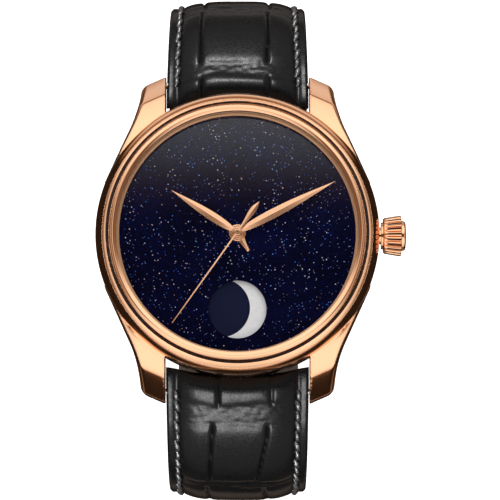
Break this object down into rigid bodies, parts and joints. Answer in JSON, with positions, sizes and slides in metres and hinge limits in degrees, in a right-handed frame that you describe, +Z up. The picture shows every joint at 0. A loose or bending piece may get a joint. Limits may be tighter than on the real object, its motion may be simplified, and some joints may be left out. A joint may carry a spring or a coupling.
{
  "type": "moon phase wristwatch",
  "caption": "Round dress wristwatch with curved lugs, leaf hands over a glitter dial with a moon aperture, fluted crown, glazed back and a padded strap with a pin buckle.",
  "frame": {"origin": "on the axis of the hands, on the floor under the flat end of the strap half with the holes", "axes": "+Z up, out of the dial; +Y towards 12 o'clock; +X towards the crown at 3 o'clock"},
  "size_m": [0.046, 0.0731, 0.0642],
  "materials": {
    "red_gold": "mirror polished",
    "gold_hands": "polished facets",
    "crystal": "clear",
    "gasket": "matt",
    "steel": "satin",
    "gilt_brass": "circular grained",
    "plate": "striped",
    "plate_ground": "spotted",
    "aventurine": "glittering dark blue, polished",
    "moon_metal": "grained",
    "moon_shade": "satin navy",
    "ruby": "polished",
    "blued_steel": "blued",
    "strap_leather": "glossy square scales",
    "strap_lining": "smooth",
    "spring_steel": "blue grey"
  },
  "bodies": {
    "head": {"case_middle": "red_gold", "bezel": "red_gold", "front_crystal": "crystal", "crystal_gasket": "gasket", "dial_ring": "red_gold", "caseback_ring": "red_gold", "back_crystal": "crystal", "back_gasket": "gasket", "caseback_screws": "red_gold", "crown_tube": "steel", "dial": "aventurine", "movement_holder": "steel", "mainplate": "plate_ground", "barrel_bridge": "plate", "train_bridge": "plate", "balance_cock": "plate", "pallet_bridge": "plate", "jewels": "ruby", "bridge_screws": "blued_steel", "spring_bars": "steel"},
    "winding_works": {"winding_pinion": "steel"},
    "crown_group": {"crown": "red_gold", "crown_gasket": "gasket", "winding_stem": "steel"},
    "setting_lever": {"setting_lever": "steel"},
    "crown_wheel": {"crown_wheel": "steel"},
    "ratchet": {"ratchet_wheel": "steel", "barrel_arbor": "steel"},
    "click": {"click": "steel"},
    "minute": {"minute_hand": "gold_hands", "cannon_pinion": "steel"},
    "minute_wheel": {"minute_wheel": "gilt_brass"},
    "hour": {"hour_hand": "gold_hands", "hour_wheel": "gilt_brass"},
    "day_night_idler": {"day_night_idler": "gilt_brass"},
    "day_night": {"day_night_hand": "gold_hands", "day_night_wheel": "gilt_brass"},
    "moon_wheel": {"moon_wheel": "gilt_brass"},
    "moon": {"moon_disc": "moon_metal", "moon_shades": "moon_shade"},
    "seconds": {"fourth_wheel": "gilt_brass", "seconds_hand": "gold_hands"},
    "third": {"third_wheel": "gilt_brass"},
    "great": {"great_wheel": "gilt_brass"},
    "barrel": {"barrel_drum": "gilt_brass", "barrel_cover": "gilt_brass", "mainspring": "spring_steel"},
    "escape": {"escape_wheel": "gilt_brass"},
    "pallet": {"pallet_fork": "steel", "pallet_stones": "ruby"},
    "balance": {"balance_wheel": "gilt_brass", "hairspring": "spring_steel"},
    "strap_buckle_side": {"strap_buckle_half": "strap_leather", "strap_buckle_lining": "strap_lining", "fixed_keeper": "strap_leather"},
    "strap_hole_side": {"strap_hole_half": "strap_leather", "strap_hole_lining": "strap_lining"},
    "loose_keeper": {"loose_keeper": "strap_leather"},
    "buckle": {"buckle_frame": "red_gold"},
    "tang": {"buckle_tang": "red_gold"}
  },
  "joints": [
    {"name": "crown_turn", "type": "hinge", "parent": "head", "child": "winding_works", "pos_m": [0.0084, 0, 0.0566], "axis": [1, 0, 0], "continuous": true},
    {"name": "crown_pull", "type": "slide", "parent": "winding_works", "child": "crown_group", "axis": [1, 0, 0], "range_m": [0, 0.0014]},
    {"name": "setting_lever_turn", "type": "hinge", "parent": "head", "child": "setting_lever", "pos_m": [0.0106, 0.0032, 0.0575], "axis": [0, 0, 1], "range_deg": [0, 26]},
    {"name": "crown_wheel_turn", "type": "hinge", "parent": "head", "child": "crown_wheel", "pos_m": [0.00648, 0, 0.0535], "axis": [0, 0, 1], "continuous": true},
    {"name": "ratchet_turn", "type": "hinge", "parent": "head", "child": "ratchet", "pos_m": [0.0055, 0.00835, 0.0535], "axis": [0, 0, 1], "continuous": true},
    {"name": "click_turn", "type": "hinge", "parent": "head", "child": "click", "pos_m": [0.0121, 0.00835, 0.0535], "axis": [0, 0, 1], "range_deg": [0, 8], "stiffness_Nm_per_rad": 0.0005},
    {"name": "minute_turn", "type": "hinge", "parent": "head", "child": "minute", "pos_m": [0, 0, 0.0575], "axis": [0, 0, -1], "continuous": true},
    {"name": "minute_wheel_turn", "type": "hinge", "parent": "head", "child": "minute_wheel", "pos_m": [0.0012, -0.00208, 0.0575], "axis": [0, 0, -1], "continuous": true},
    {"name": "hour_turn", "type": "hinge", "parent": "head", "child": "hour", "pos_m": [0, 0, 0.0575], "axis": [0, 0, -1], "continuous": true},
    {"name": "day_night_idler_turn", "type": "hinge", "parent": "head", "child": "day_night_idler", "pos_m": [-0.00165, 0.00286, 0.0575], "axis": [0, 0, -1], "continuous": true},
    {"name": "day_night_turn", "type": "hinge", "parent": "head", "child": "day_night", "pos_m": [0, 0, 0.0575], "axis": [0, 0, -1], "continuous": true},
    {"name": "moon_wheel_turn", "type": "hinge", "parent": "head", "child": "moon_wheel", "pos_m": [0.00209, 0.00491, 0.0575], "axis": [0, 0, -1], "continuous": true},
    {"name": "moon_turn", "type": "hinge", "parent": "head", "child": "moon", "pos_m": [0, 0, 0.0575], "axis": [0, 0, -1], "continuous": true},
    {"name": "seconds_turn", "type": "hinge", "parent": "head", "child": "seconds", "pos_m": [0, 0, 0.0575], "axis": [0, 0, -1], "continuous": true},
    {"name": "third_turn", "type": "hinge", "parent": "head", "child": "third", "pos_m": [-0.00299, 0.00251, 0.0575], "axis": [0, 0, -1], "continuous": true},
    {"name": "great_turn", "type": "hinge", "parent": "head", "child": "great", "pos_m": [-0.00134, 0.00631, 0.0575], "axis": [0, 0, -1], "continuous": true},
    {"name": "barrel_turn", "type": "hinge", "parent": "head", "child": "barrel", "pos_m": [0.0055, 0.00835, 0.0575], "axis": [0, 0, -1], "continuous": true},
    {"name": "escape_turn", "type": "hinge", "parent": "head", "child": "escape", "pos_m": [-0.00123, -0.00339, 0.0575], "axis": [0, 0, -1], "continuous": true},
    {"name": "pallet_swing", "type": "hinge", "parent": "head", "child": "pallet", "pos_m": [-0.00307, -0.006, 0.0575], "axis": [0, 0, 1], "range_deg": [-5, 5]},
    {"name": "balance_swing", "type": "hinge", "parent": "head", "child": "balance", "pos_m": [-0.00559, -0.00961, 0.0575], "axis": [0, 0, 1], "range_deg": [-270, 270], "stiffness_Nm_per_rad": 0.0000004},
    {"name": "strap_buckle_side_turn", "type": "hinge", "parent": "head", "child": "strap_buckle_side", "pos_m": [0, 0.0229, 0.0536], "axis": [1, 0, 0], "range_deg": [0, 50]},
    {"name": "strap_hole_side_turn", "type": "hinge", "parent": "head", "child": "strap_hole_side", "pos_m": [0, -0.0229, 0.0536], "axis": [-1, 0, 0], "range_deg": [0, 50]},
    {"name": "loose_keeper_slide", "type": "hinge", "parent": "strap_buckle_side", "child": "loose_keeper", "pos_m": [0, 0.01678, 0.02795], "axis": [1, 0, 0], "range_deg": [-5, 18]},
    {"name": "buckle_turn", "type": "hinge", "parent": "strap_buckle_side", "child": "buckle", "pos_m": [0, 0.01097, 0.01197], "axis": [1, 0, 0], "range_deg": [-60, 0]},
    {"name": "tang_turn", "type": "hinge", "parent": "buckle", "child": "tang", "pos_m": [0, 0.01097, 0.01197], "axis": [1, 0, 0], "range_deg": [0, 55]}
  ],
  "couplings": [
    {"joint": "setting_lever_turn", "follows": "crown_pull", "rad_per_m": 317.9},
    {"joint": "crown_wheel_turn", "follows": "crown_turn", "ratio": 0.38889},
    {"joint": "ratchet_turn", "follows": "crown_turn", "ratio": -0.23333},
    {"joint": "minute_wheel_turn", "follows": "minute_turn", "ratio": -0.33333},
    {"joint": "hour_turn", "follows": "minute_turn", "ratio": 0.083333},
    {"joint": "day_night_idler_turn", "follows": "minute_turn", "ratio": -0.041667},
    {"joint": "day_night_turn", "follows": "minute_turn", "ratio": 0.041667},
    {"joint": "moon_wheel_turn", "follows": "minute_turn", "ratio": 0.005291},
    {"joint": "moon_turn", "follows": "minute_turn", "ratio": 0.00047031},
    {"joint": "third_turn", "follows": "seconds_turn", "ratio": -0.13333},
    {"joint": "great_turn", "follows": "seconds_turn", "ratio": 0.016667},
    {"joint": "barrel_turn", "follows": "seconds_turn", "ratio": -0.0027778},
    {"joint": "escape_turn", "follows": "seconds_turn", "ratio": -9}
  ]
}
